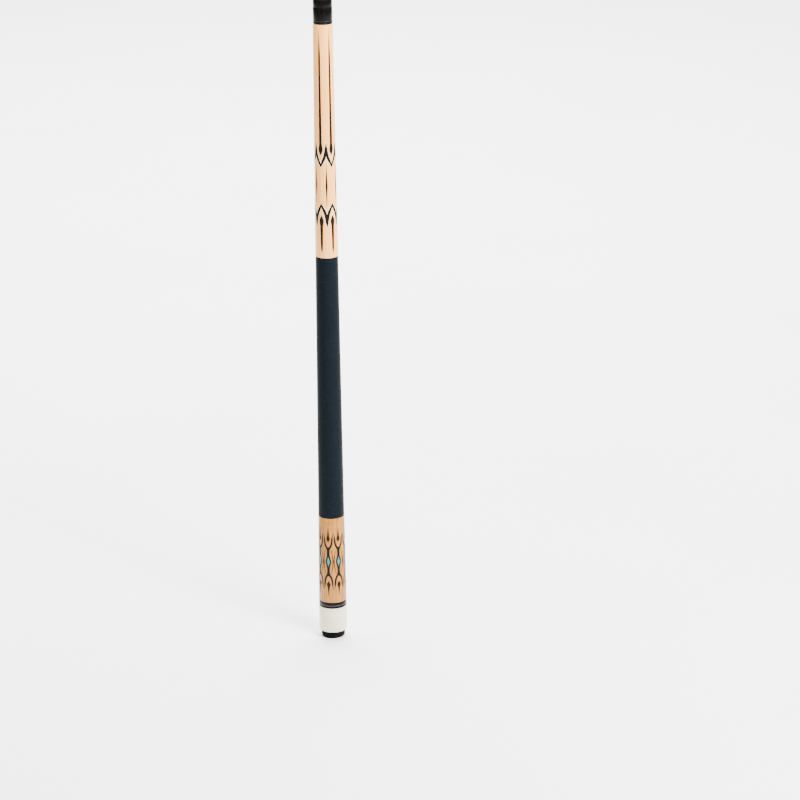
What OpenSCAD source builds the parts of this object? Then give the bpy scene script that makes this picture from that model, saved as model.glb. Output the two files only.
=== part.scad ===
// Two-piece pool cue standing on its bumper. The origin is the centre of the bumper's
// foot, Z runs up the cue's axis to the tip, and all sizes are in millimetres.

/* [Overall] */
// Length of the whole cue, from the bumper's foot to the crown of the tip
cue_len = 1473; // [1220:1:1800]
// Length of the shaft half, from the joint face to the crown of the tip
shaft_len = 736; // [600:1:900]
// Diameter of the butt cap
butt_d = 31.8; // [26:0.1:39]
// Diameter of the handle at the lower end of the wrap
handle_d = 29.7; // [24.5:0.1:36]
// Diameter of both halves at the joint face
joint_d = 21.3; // [19:0.1:24]
// Diameter of the ferrule, the pad and the tip
tip_d = 12.9; // [11:0.1:15.5]

/* [Butt end] */
// Height of the bumper below the cap
bumper_h = 8.4; // [5:0.1:12]
// Diameter of the bumper
bumper_d = 27; // [22.5:0.1:31]
// Radius of the bumper's lower edge
bumper_round = 2; // [1:0.1:3]
// Diameter of the bumper's stem inside the cap
stem_d = 14; // [13:0.1:17]
// Height of the butt cap
cap_h = 29.8; // [24:0.1:40]
// Radius of the cap's lower edge
cap_round = 1.2; // [0.5:0.1:2]
// Height of the black ring on the cap
lower_ring_h = 2.6; // [1:0.1:4]
// Height of the metal ring between the black ones
silver_ring_h = 1.5; // [0.8:0.1:3]
// Height of the black ring under the sleeve
upper_ring_h = 3.3; // [1:0.1:5]
// Length of the butt sleeve
sleeve_len = 102.8; // [86:0.1:140]
// Diameter of the core inside the sleeve, the rings and the cap
core_d = 22; // [19:0.1:23]
// How far the core stands down into the cap
core_in_cap = 17; // [10:0.5:20]

/* [Weight bolt and bumper screw] */
// Diameter of the weight bolt
bolt_d = 12.7; // [10:0.1:15.3]
// Length of the weight bolt
bolt_len = 84; // [40:1:100]
// Width across the flats of the weight bolt's socket
socket_af = 6.5; // [6:0.1:8]
// Depth of the weight bolt's socket
socket_depth = 8; // [4:0.5:12]
// Diameter of the bumper screw
screw_d = 5; // [4:0.1:5.8]
// How far the bumper screw reaches into the weight bolt, past the socket
screw_grip = 9; // [5:0.5:15]
// Diameter of the bumper screw's head
screw_head_d = 9; // [8:0.1:10.5]
// Height of the bumper screw's head
screw_head_h = 2.6; // [2:0.1:3.5]
// Diameter of the washer under the head
washer_d = 10.6; // [10:0.1:12]
// Thickness of the washer
washer_t = 1; // [0.6:0.1:1.5]
// Depth of the recess in the bumper's foot
recess_depth = 5; // [4.5:0.1:6]

/* [Handle] */
// Length of the wrap
wrap_len = 308.2; // [250:0.1:400]
// Thickness of the wrap
wrap_t = 0.8; // [0.5:0.1:1.5]
// Diameter of the forearm's tenon inside the handle
arm_tenon_d = 16; // [13.5:0.1:18]
// Length of the forearm's tenon inside the handle
arm_tenon_len = 18; // [10:1:30]
// Diameter of the stud that joins the handle to the forearm
stud_d = 9.5; // [8:0.1:11.4]
// Length of that stud
stud_len = 76; // [60:1:100]

/* [Joint] */
// Diameter of the joint pin over its thread
pin_d = 7.9; // [6.6:0.1:9.5]
// Pitch of the joint pin's thread, which is right-handed
pin_pitch = 1.4111; // [1.2:0.0001:2]
// Depth of the joint pin's thread
thread_depth = 0.8; // [0.5:0.05:1]
// How far the joint pin stands out of the butt
pin_reach = 27.5; // [20:0.5:33]
// How far the joint pin goes into the forearm
pin_embed = 38; // [25:1:50]
// Height of the butt's joint collar
butt_collar_h = 14; // [8:0.5:20]
// Height of the shaft's joint collar
shaft_collar_h = 9; // [6:0.5:14]
// Height of each metal ring at the joint
joint_silver_h = 1.2; // [0.8:0.1:2]
// Height of each black ring at the joint
joint_black_h = 2; // [1:0.1:3]
// Diameter of the wooden tenons inside the collars
tenon_d = 16; // [14.5:0.1:17]
// Diameter of the insert in the shaft
insert_d = 11.4; // [11:0.1:13]
// Length of the insert in the shaft
insert_len = 24; // [15:0.5:26]

/* [Shaft] */
// Length of the slim part below the ferrule
slim_len = 260; // [150:5:400]
// Growth in diameter along the slim part
slim_growth = 0.5; // [0:0.05:1]
// Length of the ferrule
ferrule_len = 25.4; // [12:0.1:31]
// Thickness of the ferrule's closed end
ferrule_cap = 3; // [1.5:0.1:5]
// Diameter of the shaft's tenon inside the ferrule
ferrule_tenon_d = 8; // [6.5:0.1:9.6]
// Thickness of the fibre pad under the tip
pad_t = 1; // [0.5:0.1:2]
// Height of the tip
tip_h = 6; // [4:0.1:8]
// Radius of the tip's crown
crown_r = 10.6; // [8.9:0.1:14]

/* [Inlays] */
// Depth of every inlay
inlay_depth = 1; // [0.7:0.1:1.5]
// Turn of the sleeve's motifs from the front
sleeve_turn = 6; // [0:0.25:45]
// Turn of the forearm's points from the front
arm_turn = 5.5; // [0:0.25:60]
// Number of motifs round the sleeve
sleeve_motifs = 8; // [6:1:9]
// Height of the sleeve's motif, spike to spike, as a share of the sleeve's length
motif_share = 0.837; // [0.74:0.001:0.87]
// How far the motif's middle lies below the sleeve's
motif_drop = 1; // [0:0.1:2]
// Width of the turquoise lozenges
lozenge_w = 3.6; // [2.5:0.1:4]
// Height of the turquoise lozenges
lozenge_h = 12.6; // [8:0.2:16]
// Width of a fork's stem
fork_stem_w = 3.2; // [1.5:0.1:3.8]
// Number of points round the forearm
arm_points = 6; // [4:1:7]
// Width of a forearm point where its leaf begins
point_w = 3.3; // [1.5:0.1:4]
// Width of a forearm point's leaf
leaf_w = 5; // [4.1:0.1:6]
// Height of a forearm point's leaf
leaf_h = 12.5; // [8:0.5:16]
// Length of the lower points, from leaf to tip
lower_point_len = 32; // [20:1:40]
// Height of each zigzag band
zigzag_h = 24; // [19:0.5:28]
// Height of the diamonds between the zigzags
diamond_h = 54; // [40:1:60]
// Width of the diamonds between the zigzags
diamond_w = 2.4; // [1.5:0.1:3]

/* [Hidden] */
$fn = 96;

// Clearances: glue between fixed pieces, and the running fit of the pin in its insert
glue = 0.05;
run = 0.06;
// A cut runs this far past the face it opens
past = 1;

// Heights, from the foot up
cap_z = bumper_h;
lower_ring_z = cap_z + cap_h;
silver_ring_z = lower_ring_z + lower_ring_h;
upper_ring_z = silver_ring_z + silver_ring_h;
sleeve_z = upper_ring_z + upper_ring_h;
wrap_z = sleeve_z + sleeve_len;
arm_z = wrap_z + wrap_len;
joint_z = cue_len - shaft_len;
butt_collar_z = joint_z - butt_collar_h;
butt_ring_z = [
    butt_collar_z - 2 * joint_silver_h - joint_black_h,
    butt_collar_z - joint_silver_h - joint_black_h,
    butt_collar_z - joint_silver_h
];
shaft_ring_z = [
    joint_z + shaft_collar_h,
    joint_z + shaft_collar_h + joint_silver_h,
    joint_z + shaft_collar_h + joint_silver_h + joint_black_h
];
arm_top = butt_ring_z[0];
shaft_wood_z = shaft_ring_z[2] + joint_silver_h;
tip_z = cue_len - tip_h;
pad_z = tip_z - pad_t;
ferrule_z = pad_z - ferrule_len;
slim_z = ferrule_z - slim_len;
core_z = lower_ring_z - core_in_cap;
recess_z = recess_depth;
bolt_z = core_z + 1;

// Radius of the cue's surface at a height: cap, sleeve taper, handle and forearm taper,
// shaft taper, slim part and ferrule
function between(z, z0, z1, a, b) = a + (b - a) * (z - z0) / (z1 - z0);
function surface_r(z) =
    z < lower_ring_z ? butt_d / 2 :
    z < wrap_z ? between(z, lower_ring_z, wrap_z, butt_d, handle_d) / 2 :
    z < joint_z ? between(z, wrap_z, joint_z, handle_d, joint_d) / 2 :
    z < slim_z ? between(z, joint_z, slim_z, joint_d, tip_d + slim_growth) / 2 :
    z < ferrule_z ? between(z, slim_z, ferrule_z, tip_d + slim_growth, tip_d) / 2 :
    tip_d / 2;

// A length of the cue between two heights, with its surface moved in or out by grow
module length_of_cue(z0, z1, grow = 0)
    translate([0, 0, z0])
        cylinder(h = z1 - z0, r1 = surface_r(z0) + grow, r2 = surface_r(z1) + grow);

// A round bar or hole between two heights
module bar(z0, z1, d) translate([0, 0, z0]) cylinder(h = z1 - z0, d = d);

// A ring of the cue between two heights, bored to fit a tenon of diameter inner
module ring_of_cue(z0, z1, inner) {
    difference() {
        length_of_cue(z0, z1);
        bar(z0 - past, z1 + past, inner + 2 * glue);
    }
}

// Quarter round at the corner of a turned profile, from angle a0 to a1
function arc_points(centre, r, a0, a1, steps = 6) =
    [for (i = [0:steps]) centre + r * [cos(a0 + (a1 - a0) * i / steps), sin(a0 + (a1 - a0) * i / steps)]];

// ---- Inlays -------------------------------------------------------------------
// An outline is drawn level by height, and stood up on the cue's surface at an angle

function flip_x(points) = [for (i = [len(points) - 1:-1:0]) [-points[i][0], points[i][1]]];
function flip_y(points) = [for (i = [len(points) - 1:-1:0]) [points[i][0], -points[i][1]]];

// Outline with left and right alike, from its right side listed bottom to top
function both_sides(right) = concat(right, flip_x(right));

// Prisms that point outwards, one for each angle
module stand_up(angles)
    for (a = angles)
        rotate([0, 0, a]) rotate([90, 0, 90]) linear_extrude(height = butt_d) children();

// The outermost layer of a length of the cue: an inlay's, or with cut its pocket's
module skin(z0, z1, cut = false) {
    difference() {
        length_of_cue(z0, z1, cut ? past : 0);
        length_of_cue(z0 - past, z1 + past, -inlay_depth - (cut ? glue : 0));
    }
}

sleeve_mid = (sleeve_z + wrap_z) / 2 - motif_drop;
motif_h = motif_share * sleeve_len;
sleeve_mid_r = surface_r(sleeve_mid);
motif_angles = [for (i = [0:sleeve_motifs - 1]) sleeve_turn - 90 + (i + 0.5) * 360 / sleeve_motifs];
// Half of the level room that one motif has on the sleeve
motif_room = sleeve_mid_r * sin(180 / sleeve_motifs);

// Fork: two bowls, back to back on a stem that widens round the lozenge
fork_line = 2.6;
fork_line_end = 1.9;
fork_base = motif_h * 0.19;
fork_bowl = motif_h * 0.13;
fork_tip = motif_h * 0.41;
// Half width of a fork, narrow enough to stay clear of its neighbours to its full depth
fork_half_w = (surface_r(sleeve_mid + fork_tip) - inlay_depth - glue - 0.2) * sin(180 / sleeve_motifs);
fork_reach = fork_half_w - fork_line_end / 2;
lozenge_frame = 1.5;
neck_h = lozenge_h / 2 + 2.2;

// A point beside the fork's line at bowl angle t, side 1 outside and -1 inside
function fork_point(t, side) =
    let (
        line = fork_line + (fork_line_end - fork_line) * t / 90,
        across = [fork_bowl * sin(t), -fork_reach * cos(t)]
    )
    [fork_reach * sin(t), fork_base + fork_bowl * (1 - cos(t))] + side * line / 2 * across / norm(across);

bowl_steps = [15:15:90];
fork_outside = concat(
    [[lozenge_w / 2 + lozenge_frame, 0], [fork_stem_w / 2, neck_h], [fork_stem_w / 2, fork_base - fork_line]],
    [for (t = bowl_steps) fork_point(t, 1)],
    [[fork_half_w, fork_tip]]
);
fork_inside = [for (t = [90:-15:0]) fork_point(t, -1)];
fork_half = concat(fork_outside, fork_inside);
fork_right = concat(flip_y(fork_half), [for (i = [1:len(fork_half) - 1]) fork_half[i]]);
fork_outline = concat(fork_right, [for (p = flip_x(fork_right)) if (abs(p[0]) > 0.001) p]);

lozenge_outline = [[0, -lozenge_h / 2], [lozenge_w / 2, 0], [0, lozenge_h / 2], [-lozenge_w / 2, 0]];

// Dart: a drop with a long spike, in each bowl of the fork
dart_z = motif_h * 0.335;
dart_right = [
    [0, dart_z - 5], [1.3, dart_z - 3.4], [2.05, dart_z - 1.6], [2.1, dart_z - 0.2],
    [1.65, dart_z + 1.4], [1.15, dart_z + 3], [0.85, dart_z + 6], [0, motif_h / 2]
];
dart_outline = concat(dart_right, flip_x([for (i = [1:len(dart_right) - 2]) dart_right[i]]));

// Side line: a slim bow between neighbouring motifs
side_h = motif_h * 0.185;
side_w = 1.1;
side_far = motif_room - 0.08;
side_near = side_far - 2.2;
function side_line_x(s) = side_near - side_w + (side_far - side_near) * cos(90 * s);
side_steps = [-1:0.25:1];
side_outline = concat(
    [for (s = side_steps) [side_line_x(s) + side_w * cos(75 * s), s * side_h]],
    [for (i = [4:-1:-4]) [side_line_x(i / 4), i / 4 * side_h]]
);

module sleeve_skin(cut = false) skin(sleeve_z + past, wrap_z - past, cut);
module at_sleeve_mid() translate([0, 0, sleeve_mid]) children();
module fork_prisms() at_sleeve_mid() stand_up(motif_angles) polygon(fork_outline);
module lozenge_prisms() at_sleeve_mid() stand_up(motif_angles) polygon(lozenge_outline);
module dart_prisms() {
    at_sleeve_mid() {
        stand_up(motif_angles) polygon(dart_outline);
        stand_up(motif_angles) polygon(flip_y(dart_outline));
    }
}
module side_line_prisms() {
    at_sleeve_mid() {
        stand_up(motif_angles) polygon(side_outline);
        stand_up(motif_angles) polygon(flip_x(side_outline));
    }
}

// Forearm ornament: points above and below, alike about its middle
ornament_mid = arm_z + 83;
leaf_z = 34;
leaf_full = leaf_h / 2;
upper_tip = arm_top - 4 - ornament_mid;
arm_angles = [for (i = [0:arm_points - 1]) arm_turn - 90 + (i + 0.5) * 360 / arm_points];
between_angles = [for (a = arm_angles) a + 180 / arm_points];

// Height where a point's long taper turns to its tip
function point_waist(tip) = tip - 0.22 * (tip - leaf_z - leaf_h);
function point_outline(tip) =
    [
        [0, leaf_z], [leaf_w / 2, leaf_z + leaf_full], [point_w / 2, leaf_z + leaf_h],
        [point_w * 0.35, point_waist(tip)], [0, tip], [-point_w * 0.35, point_waist(tip)],
        [-point_w / 2, leaf_z + leaf_h], [-leaf_w / 2, leaf_z + leaf_full]
    ];

// Zigzag: a black line that swings from a broad corner under each leaf up to a slim
// peak between the leaves. It is what is left of a band between two rows of teeth
zigzag_z = 22.3;
zigzag_room = surface_r(ornament_mid + zigzag_z + zigzag_h) * sin(180 / arm_points);
zigzag_more = 3;
zigzag_low = zigzag_z - zigzag_more;
zigzag_high = zigzag_z + zigzag_h + zigzag_more;

// Outline from its right side, given as parts of the room and of the band's height
function in_band(parts) =
    both_sides([for (p = parts) [p[0] * 0.94 * zigzag_room, zigzag_z + p[1] * zigzag_h]]);
function without_repeat(points) =
    [for (i = [0:len(points) - 1]) if (i == 0 || norm(points[i] - points[i - 1]) > 0.001) points[i]];
function closed_once(points) =
    [for (i = [0:len(points) - 1]) if (i < len(points) - 1 || norm(points[i] - points[0]) > 0.001) points[i]];
function band_outline(parts) = closed_once(without_repeat(in_band(parts)));

tooth_above = band_outline([
    [0, 0.1], [0.17, 0.23], [0.4, 0.365], [0.55, 0.49], [0.66, 0.61], [0.74, 0.73], [0.82, 0.85], [1.2, 1.25]
]);
tooth_below = band_outline([
    [1.25, -0.18], [0.8, 0.02], [0.52, 0.145], [0.29, 0.245], [0.11, 0.345], [0, 0.45]
]);

// Heart of a tooth: the wood inside its pale lining
heart_above = band_outline([
    [0, 0.215], [0.1, 0.27], [0.27, 0.37], [0.42, 0.49], [0.55, 0.61], [0.66, 0.73], [0.76, 0.85], [1.1, 1.25]
]);
heart_below = band_outline([
    [1.25, -0.185], [0.76, 0.005], [0.38, 0.115], [0.17, 0.205], [0.05, 0.275], [0, 0.335]
]);

diamond_outline = [[0, -diamond_h / 2], [diamond_w / 2, 0], [0, diamond_h / 2], [-diamond_w / 2, 0]];

module arm_skin(cut = false) skin(arm_z + past, arm_top - past, cut);
module at_ornament() translate([0, 0, ornament_mid]) children();
module upper_point_prisms() at_ornament() stand_up(arm_angles) polygon(point_outline(upper_tip));
module lower_point_prisms() {
    lower_tip = leaf_z + leaf_h + lower_point_len;
    at_ornament() stand_up(arm_angles) polygon(flip_y(point_outline(lower_tip)));
}

// The skin of a zigzag's band, above the ornament's middle or below it
module band_skin(below, cut = false) {
    z0 = ornament_mid + (below ? -zigzag_high : zigzag_low);
    z1 = ornament_mid + (below ? -zigzag_low : zigzag_high);
    skin(z0, z1, cut);
}
module teeth_above(below) {
    at_ornament() stand_up(arm_angles) polygon(below ? flip_y(tooth_above) : tooth_above);
}
module teeth_below(below) {
    at_ornament() stand_up(between_angles) polygon(below ? flip_y(tooth_below) : tooth_below);
}
module hearts_above(below) {
    at_ornament() stand_up(arm_angles) polygon(below ? flip_y(heart_above) : heart_above);
}
module hearts_below(below) {
    at_ornament() stand_up(between_angles) polygon(below ? flip_y(heart_below) : heart_below);
}

module zigzag_band(below) {
    difference() {
        band_skin(below);
        teeth_above(below);
        teeth_below(below);
    }
}

// Pale linings: each tooth less its heart
module lining(below) {
    difference() {
        intersection() {
            band_skin(below);
            teeth_above(below);
        }
        hearts_above(below);
    }
    difference() {
        intersection() {
            band_skin(below);
            teeth_below(below);
        }
        hearts_below(below);
    }
}

// Pocket for a zigzag and its linings together
module band_pocket(below) {
    difference() {
        band_skin(below, true);
        hearts_above(below);
        hearts_below(below);
    }
}
module diamond_prisms() at_ornament() stand_up(between_angles) polygon(diamond_outline);

// ---- Butt end -----------------------------------------------------------------

// Rubber foot with a stem in the cap and a recess for its screw
module bumper() {
    r = bumper_d / 2;
    stem_top = core_z - 0.5;
    color([0.07, 0.07, 0.07])
    difference() {
        union() {
            rotate_extrude()
                polygon(concat(
                    [[0, 0]],
                    arc_points([r - bumper_round, bumper_round], bumper_round, -90, 0),
                    [[r, bumper_h], [0, bumper_h]]
                ));
            bar(bumper_h - past, stem_top, stem_d);
        }
        bar(-past, recess_z, washer_d + 0.8);
        bar(-past, stem_top + past, screw_d + 0.4);
    }
}

module bumper_washer() {
    color([0.75, 0.76, 0.78])
    difference() {
        bar(recess_z - washer_t, recess_z, washer_d);
        bar(recess_z - washer_t - past, recess_z + past, screw_d + 0.4);
    }
}

// Pan-head screw, cross-slotted, from the recess up into the weight bolt
module bumper_screw() {
    head_z = recess_z - washer_t - screw_head_h;
    slot_w = 1.4;
    slot_l = 5.2;
    color([0.72, 0.73, 0.75])
    difference() {
        union() {
            bar(head_z, recess_z - washer_t, screw_head_d);
            bar(recess_z - washer_t - 0.1, bolt_z + socket_depth + screw_grip, screw_d);
        }
        for (a = [0, 90])
            rotate([0, 0, a]) translate([-slot_l / 2, -slot_w / 2, head_z - past]) cube([slot_l, slot_w, 1.4 + past]);
    }
}

// Steel bolt with a hexagon socket, and a tapped hole for the bumper screw
module weight_bolt() {
    color([0.6, 0.61, 0.63])
    difference() {
        bar(bolt_z, bolt_z + bolt_len, bolt_d);
        translate([0, 0, bolt_z - past])
            cylinder(h = socket_depth + past, d = socket_af / cos(30), $fn = 6);
        bar(bolt_z, bolt_z + socket_depth + screw_grip + 3, screw_d + 0.1);
    }
}

module butt_cap() {
    r = butt_d / 2;
    color([0.89, 0.88, 0.84])
    difference() {
        rotate_extrude()
            polygon(concat(
                [[0, cap_z]],
                arc_points([r - cap_round, cap_z + cap_round], cap_round, -90, 0),
                [[r, lower_ring_z], [0, lower_ring_z]]
            ));
        bar(cap_z - past, lower_ring_z + past, stem_d + 2 * glue);
        bar(core_z, lower_ring_z + past, core_d + 2 * glue);
    }
}

module cap_ring_lower() color([0.06, 0.06, 0.06]) ring_of_cue(lower_ring_z, silver_ring_z, core_d);
module cap_ring_silver() color([0.8, 0.81, 0.83]) ring_of_cue(silver_ring_z, upper_ring_z, core_d);
module cap_ring_upper() color([0.06, 0.06, 0.06]) ring_of_cue(upper_ring_z, sleeve_z, core_d);

// Wooden sleeve with a pocket for every inlay
module butt_sleeve() {
    color([0.83, 0.69, 0.53])
    difference() {
        ring_of_cue(sleeve_z, wrap_z, core_d);
        intersection() {
            union() {
                fork_prisms();
                dart_prisms();
                side_line_prisms();
            }
            sleeve_skin(true);
        }
    }
}

module sleeve_forks() {
    color([0.09, 0.06, 0.05])
    intersection() {
        difference() {
            fork_prisms();
            lozenge_prisms();
        }
        sleeve_skin();
    }
}

module sleeve_lozenges() {
    color([0.25, 0.72, 0.72])
    intersection() {
        lozenge_prisms();
        sleeve_skin();
    }
}

module sleeve_darts() {
    color([0.12, 0.07, 0.04])
    intersection() {
        dart_prisms();
        sleeve_skin();
    }
}

module sleeve_side_lines() {
    color([0.42, 0.22, 0.16])
    intersection() {
        side_line_prisms();
        sleeve_skin();
    }
}

// ---- Handle -------------------------------------------------------------------

// Wooden core: bored for the weight bolt below, and for the forearm's tenon and stud above
module handle_core() {
    color([0.8, 0.66, 0.48])
    difference() {
        union() {
            bar(core_z, wrap_z + 0.5, core_d);
            length_of_cue(wrap_z, arm_z, -wrap_t);
        }
        bar(core_z - past, bolt_z + bolt_len, bolt_d + 2 * glue);
        bar(arm_z - arm_tenon_len, arm_z + past, arm_tenon_d + 2 * glue);
        bar(arm_z - stud_len / 2, arm_z, stud_d + 2 * glue);
    }
}

module handle_wrap() {
    color([0.12, 0.16, 0.19])
    difference() {
        length_of_cue(wrap_z, arm_z);
        translate([0, 0, -past])
            cylinder(h = wrap_z + past, r = butt_d);
        difference() {
            length_of_cue(wrap_z - past, arm_z + past, -wrap_t);
            cylinder(h = wrap_z, r = butt_d);
        }
    }
}

module handle_stud() color([0.7, 0.71, 0.73]) bar(arm_z - stud_len / 2, arm_z + stud_len / 2, stud_d);

// ---- Forearm ------------------------------------------------------------------

module forearm() {
    color([0.87, 0.76, 0.62])
    difference() {
        union() {
            length_of_cue(arm_z, arm_top);
            bar(arm_top - past, joint_z, tenon_d);
            bar(arm_z - arm_tenon_len, arm_z + past, arm_tenon_d);
        }
        bar(arm_z - arm_tenon_len - past, arm_z + stud_len / 2, stud_d + 2 * glue);
        bar(joint_z - pin_embed, joint_z + past, pin_d + 2 * glue);
        intersection() {
            union() {
                upper_point_prisms();
                lower_point_prisms();
                diamond_prisms();
            }
            arm_skin(true);
        }
        band_pocket(false);
        band_pocket(true);
    }
}

module forearm_upper_points() {
    color([0.06, 0.06, 0.07])
    intersection() {
        upper_point_prisms();
        arm_skin();
    }
}

module forearm_lower_points() {
    color([0.06, 0.06, 0.07])
    intersection() {
        lower_point_prisms();
        arm_skin();
    }
}

module forearm_zigzags() {
    color([0.06, 0.06, 0.07]) {
        zigzag_band(false);
        zigzag_band(true);
    }
}

module forearm_veneers() {
    color([0.95, 0.93, 0.86]) {
        lining(false);
        lining(true);
    }
}

module forearm_diamonds() {
    color([0.1, 0.09, 0.09])
    intersection() {
        diamond_prisms();
        arm_skin();
    }
}

// ---- Joint --------------------------------------------------------------------

module butt_joint_rings_silver() {
    color([0.8, 0.81, 0.83]) {
        ring_of_cue(butt_ring_z[0], butt_ring_z[1], tenon_d);
        ring_of_cue(butt_ring_z[2], butt_collar_z, tenon_d);
    }
}

module butt_joint_ring_black() color([0.06, 0.06, 0.06]) ring_of_cue(butt_ring_z[1], butt_ring_z[2], tenon_d);
module butt_joint_collar() color([0.06, 0.06, 0.06]) ring_of_cue(butt_collar_z, joint_z, tenon_d);

// Steel pin: a plain shank in the forearm, threads above the face, and a plain nose
module joint_pin() {
    crest = pin_d / 2;
    root = crest - thread_depth;
    nose = 3;
    turns = floor((pin_reach - nose - 1) / pin_pitch);
    first = joint_z + 1;
    color([0.78, 0.79, 0.81])
    rotate_extrude()
        polygon(concat(
            [[0, joint_z - pin_embed], [crest, joint_z - pin_embed], [crest, first]],
            [for (i = [0:turns - 1], p = [[root, 0.4], [root, 0.5], [crest, 0.9], [crest, 1]])
                [p[0], first + (i + p[1]) * pin_pitch]],
            [[root, first + (turns + 0.4) * pin_pitch], [root, joint_z + pin_reach - 0.8],
             [root - 0.8, joint_z + pin_reach], [0, joint_z + pin_reach]]
        ));
}

// Brass insert in the shaft, bored to run on the pin's crests
module shaft_insert() {
    color([0.78, 0.62, 0.3])
    difference() {
        bar(joint_z + 0.4, joint_z + 0.4 + insert_len, insert_d);
        bar(joint_z, joint_z + insert_len + past, pin_d + 2 * run);
    }
}

module shaft_collar() color([0.06, 0.06, 0.06]) ring_of_cue(joint_z, shaft_ring_z[0], tenon_d);

module shaft_joint_rings_silver() {
    color([0.8, 0.81, 0.83]) {
        ring_of_cue(shaft_ring_z[0], shaft_ring_z[1], tenon_d);
        ring_of_cue(shaft_ring_z[2], shaft_wood_z, tenon_d);
    }
}

module shaft_joint_ring_black() color([0.06, 0.06, 0.06]) ring_of_cue(shaft_ring_z[1], shaft_ring_z[2], tenon_d);

// ---- Shaft --------------------------------------------------------------------

// Maple shaft: tenon and pin bore below, taper and slim part, tenon for the ferrule
module shaft() {
    color([0.93, 0.83, 0.67])
    difference() {
        union() {
            bar(joint_z, shaft_wood_z + past, tenon_d);
            length_of_cue(shaft_wood_z, slim_z);
            length_of_cue(slim_z, ferrule_z);
            bar(ferrule_z - past, pad_z - ferrule_cap - 0.2, ferrule_tenon_d);
        }
        bar(joint_z - past, joint_z + 0.4 + insert_len, insert_d + 2 * run);
        bar(joint_z, joint_z + pin_reach + 3, pin_d + 0.6);
    }
}

module ferrule() {
    color([0.95, 0.94, 0.9])
    difference() {
        bar(ferrule_z, pad_z, tip_d);
        bar(ferrule_z - past, pad_z - ferrule_cap, ferrule_tenon_d + 2 * glue);
    }
}

module tip_pad() color([0.12, 0.1, 0.1]) bar(pad_z, tip_z, tip_d);

module tip() {
    color([0.16, 0.24, 0.36])
    intersection() {
        bar(tip_z, cue_len + past, tip_d);
        translate([0, 0, cue_len - crown_r]) sphere(r = crown_r);
    }
}

bumper();
bumper_screw();
bumper_washer();
weight_bolt();
butt_cap();
cap_ring_lower();
cap_ring_silver();
cap_ring_upper();
butt_sleeve();
sleeve_forks();
sleeve_lozenges();
sleeve_darts();
sleeve_side_lines();
handle_core();
handle_wrap();
handle_stud();
forearm();
forearm_upper_points();
forearm_lower_points();
forearm_zigzags();
forearm_veneers();
forearm_diamonds();
butt_joint_rings_silver();
butt_joint_ring_black();
butt_joint_collar();
joint_pin();
shaft_insert();
shaft_collar();
shaft_joint_rings_silver();
shaft_joint_ring_black();
shaft();
ferrule();
tip_pad();
tip();
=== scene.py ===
import math

import bpy
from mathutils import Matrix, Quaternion, Vector


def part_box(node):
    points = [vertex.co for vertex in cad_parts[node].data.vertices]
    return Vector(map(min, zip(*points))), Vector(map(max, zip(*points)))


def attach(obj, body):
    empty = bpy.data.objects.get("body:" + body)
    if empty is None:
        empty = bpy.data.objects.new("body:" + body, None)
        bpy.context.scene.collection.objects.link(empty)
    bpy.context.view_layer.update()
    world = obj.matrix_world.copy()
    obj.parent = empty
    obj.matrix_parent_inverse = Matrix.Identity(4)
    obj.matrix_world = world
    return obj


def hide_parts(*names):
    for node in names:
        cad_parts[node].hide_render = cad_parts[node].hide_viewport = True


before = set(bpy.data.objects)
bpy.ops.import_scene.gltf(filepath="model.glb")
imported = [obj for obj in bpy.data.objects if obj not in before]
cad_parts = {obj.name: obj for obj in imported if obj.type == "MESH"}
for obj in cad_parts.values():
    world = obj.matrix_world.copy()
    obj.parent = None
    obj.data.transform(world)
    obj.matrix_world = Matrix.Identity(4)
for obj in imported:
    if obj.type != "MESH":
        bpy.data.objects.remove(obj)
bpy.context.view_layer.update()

MM = 0.001
ROUND = 160  # sides of a turned piece
MEETS = 1e-7  # points nearer than this are one
ON_AXIS = 1e-9  # a point this near to a line through the middle is on it
SOFTENED = math.radians(35)  # edges sharper than this are softened
SHADED_AS_ONE = math.radians(50)  # faces that meet at less than this
FULL_TURN = 2 * math.pi


# ---- The cue's own sizes, read from the frame --------------------------------------------------

def low(node):
    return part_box(node)[0][2]


def high(node):
    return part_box(node)[1][2]


def radius(node):
    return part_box(node)[1][0]


butt_r = radius("butt_cap")
handle_r = radius("handle_wrap")
joint_r = radius("shaft_collar")
tip_r = radius("ferrule")
slim_r = tip_r + 0.25 * MM
cap_top = high("butt_cap")
wrap_low, wrap_top = low("handle_wrap"), high("handle_wrap")
joint_z = high("butt_joint_collar")
ferrule_low = low("ferrule")
slim_z = ferrule_low - 260 * MM
arm_top = low("butt_joint_rings_silver")
shaft_low = high("shaft_joint_rings_silver")


def between(z, z0, z1, a, b):
    """The value at z on a straight line from a at z0 to b at z1."""
    return a + (b - a) * (z - z0) / (z1 - z0)


def surface_r(z):
    """Radius of the cue at a height."""
    if z <= cap_top:
        return butt_r
    if z <= wrap_low:
        return between(z, cap_top, wrap_low, butt_r, handle_r)
    if z <= joint_z:
        return between(z, wrap_low, joint_z, handle_r, joint_r)
    if z <= slim_z:
        return between(z, joint_z, slim_z, joint_r, slim_r)
    return between(min(z, ferrule_low), slim_z, ferrule_low, slim_r, tip_r)


# ---- Working by hand, in code ------------------------------------------------------------------

def edit(kind="VERT"):
    bpy.ops.object.mode_set(mode="EDIT")
    bpy.ops.mesh.select_mode(type=kind)


def leave():
    bpy.ops.object.mode_set(mode="OBJECT")


def named(name):
    """The piece in hand, with its name."""
    piece = bpy.context.object
    piece.name = piece.data.name = name
    return piece


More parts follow.
